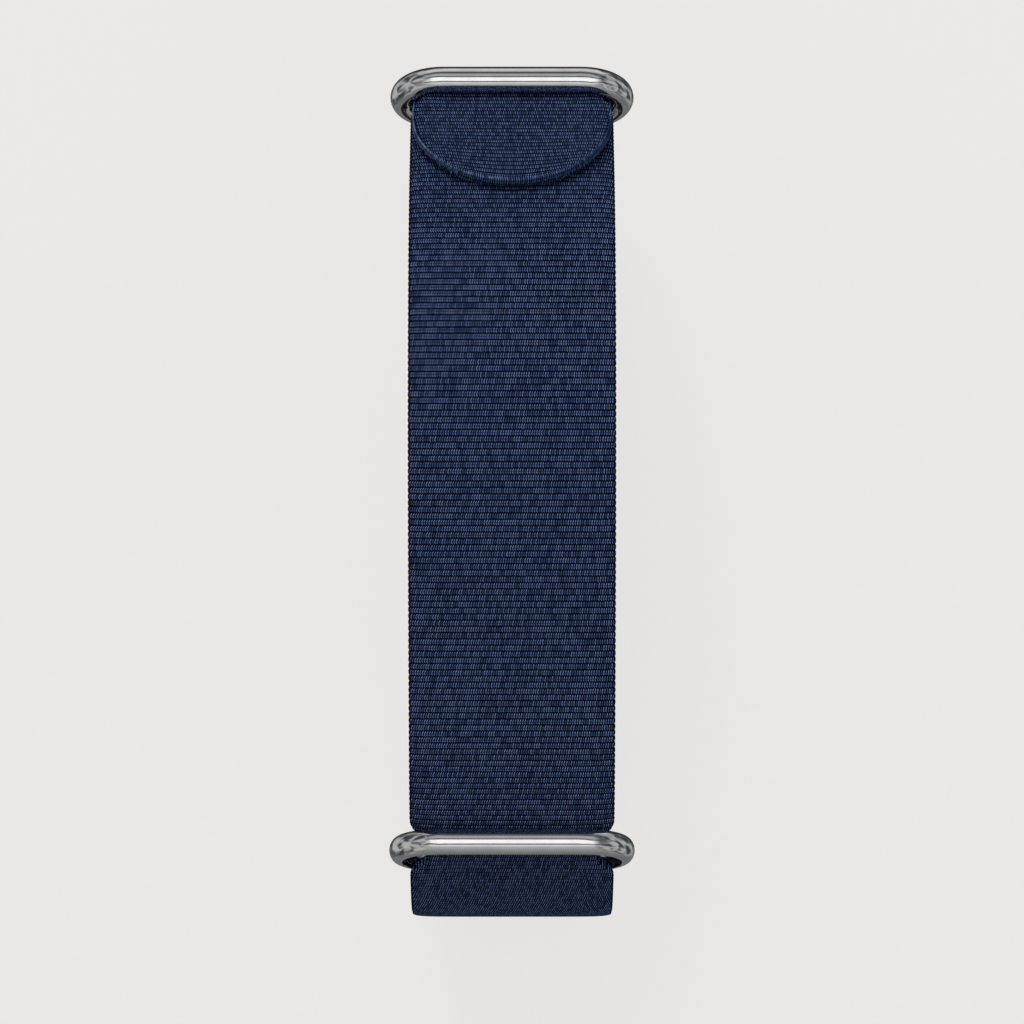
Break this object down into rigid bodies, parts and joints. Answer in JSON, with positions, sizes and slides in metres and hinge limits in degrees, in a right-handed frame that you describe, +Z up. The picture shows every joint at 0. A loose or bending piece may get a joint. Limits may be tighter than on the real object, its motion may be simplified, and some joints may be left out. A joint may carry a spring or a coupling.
{
  "type": "fitness tracker band",
  "caption": "Screenless fitness band: ribbed knit strap in a wrist-sized loop, woven through two polished stadium rings, with a sensor pod in a cradle inside its back.",
  "frame": {"origin": "under the middle of the band's box, on the surface that it lies on", "axes": "+X across the strap's width; +Y towards the adjuster ring and the tail tab; +Z up, out of the face that the strap's front shows"},
  "size_m": [0.0218, 0.0766, 0.05],
  "materials": {
    "knit": "navy ribbed knit, matte",
    "hook_fabric": "moulded hook tape, matte",
    "webbing": "thin woven tape, matte",
    "thread": "polyester thread",
    "polished_steel": "mirror-polished stainless steel",
    "cradle_steel": "bead-blasted stainless sheet",
    "case_plastic": "fine-textured black moulding",
    "lid_plastic": "fine-textured black moulding",
    "seal_rubber": "silicone cord",
    "window_glass": "smoked polished window",
    "barrier_plastic": "black opaque moulding",
    "led_lens": "clear resin over a green emitter",
    "diode": "dark silicon under clear resin",
    "circuit_board": "solder mask",
    "chip_plastic": "moulded chip packages",
    "shield_metal": "tinned sheet",
    "battery_foil": "pouch foil",
    "pad_foam": "thin foam tape",
    "motor_steel": "drawn steel",
    "rotor_metal": "sintered weight",
    "contact_gold": "gold-plated pins",
    "sensor_steel": "satin steel button",
    "screw_steel": "steel",
    "flex_film": "amber film",
    "antenna_copper": "copper foil"
  },
  "bodies": {
    "band": {"strap_front": "knit", "strap_back": "knit", "anchor_tape": "webbing", "anchor_stitches": "thread", "pod_cradle": "cradle_steel"},
    "tab": {"strap_tab": "knit", "tab_hook_pad": "hook_fabric"},
    "adjuster": {"adjuster_ring": "polished_steel"},
    "keeper": {"keeper_ring": "polished_steel"},
    "pod": {"pod_case": "case_plastic", "pod_lid": "lid_plastic", "pod_seal": "seal_rubber", "sensor_window": "window_glass", "light_barrier": "barrier_plastic", "green_leds": "led_lens", "photodiodes": "diode", "sensor_board": "circuit_board", "main_board": "circuit_board", "processor_chips": "chip_plastic", "radio_shield": "shield_metal", "battery": "battery_foil", "battery_pad": "pad_foam", "motor_can": "motor_steel", "motor_base": "motor_steel", "charge_contacts": "contact_gold", "temperature_sensor": "sensor_steel", "board_screws": "screw_steel", "flex_cable": "flex_film", "antenna_strip": "antenna_copper"},
    "rotor": {"vibration_rotor": "rotor_metal"}
  },
  "joints": [
    {"name": "adjuster_ring_swing", "type": "hinge", "parent": "band", "child": "adjuster", "pos_m": [0, 0.03422, 0.0281], "axis": [-1, 0, 0], "range_deg": [0, 25]},
    {"name": "keeper_ring_swing", "type": "hinge", "parent": "band", "child": "keeper", "pos_m": [0, -0.03246, 0.03373], "axis": [1, 0, 0], "range_deg": [0, 25]},
    {"name": "tab_lift", "type": "hinge", "parent": "band", "child": "tab", "pos_m": [0, 0.0348, 0.03583], "axis": [-1, 0, 0], "range_deg": [0, 90]},
    {"name": "pod_release", "type": "slide", "parent": "band", "child": "pod", "axis": [0, 0, 1], "range_m": [0, 0.012]},
    {"name": "rotor_spin", "type": "hinge", "parent": "pod", "child": "rotor", "pos_m": [0, -0.01206, 0.0041], "axis": [0, 0, 1], "continuous": true}
  ]
}
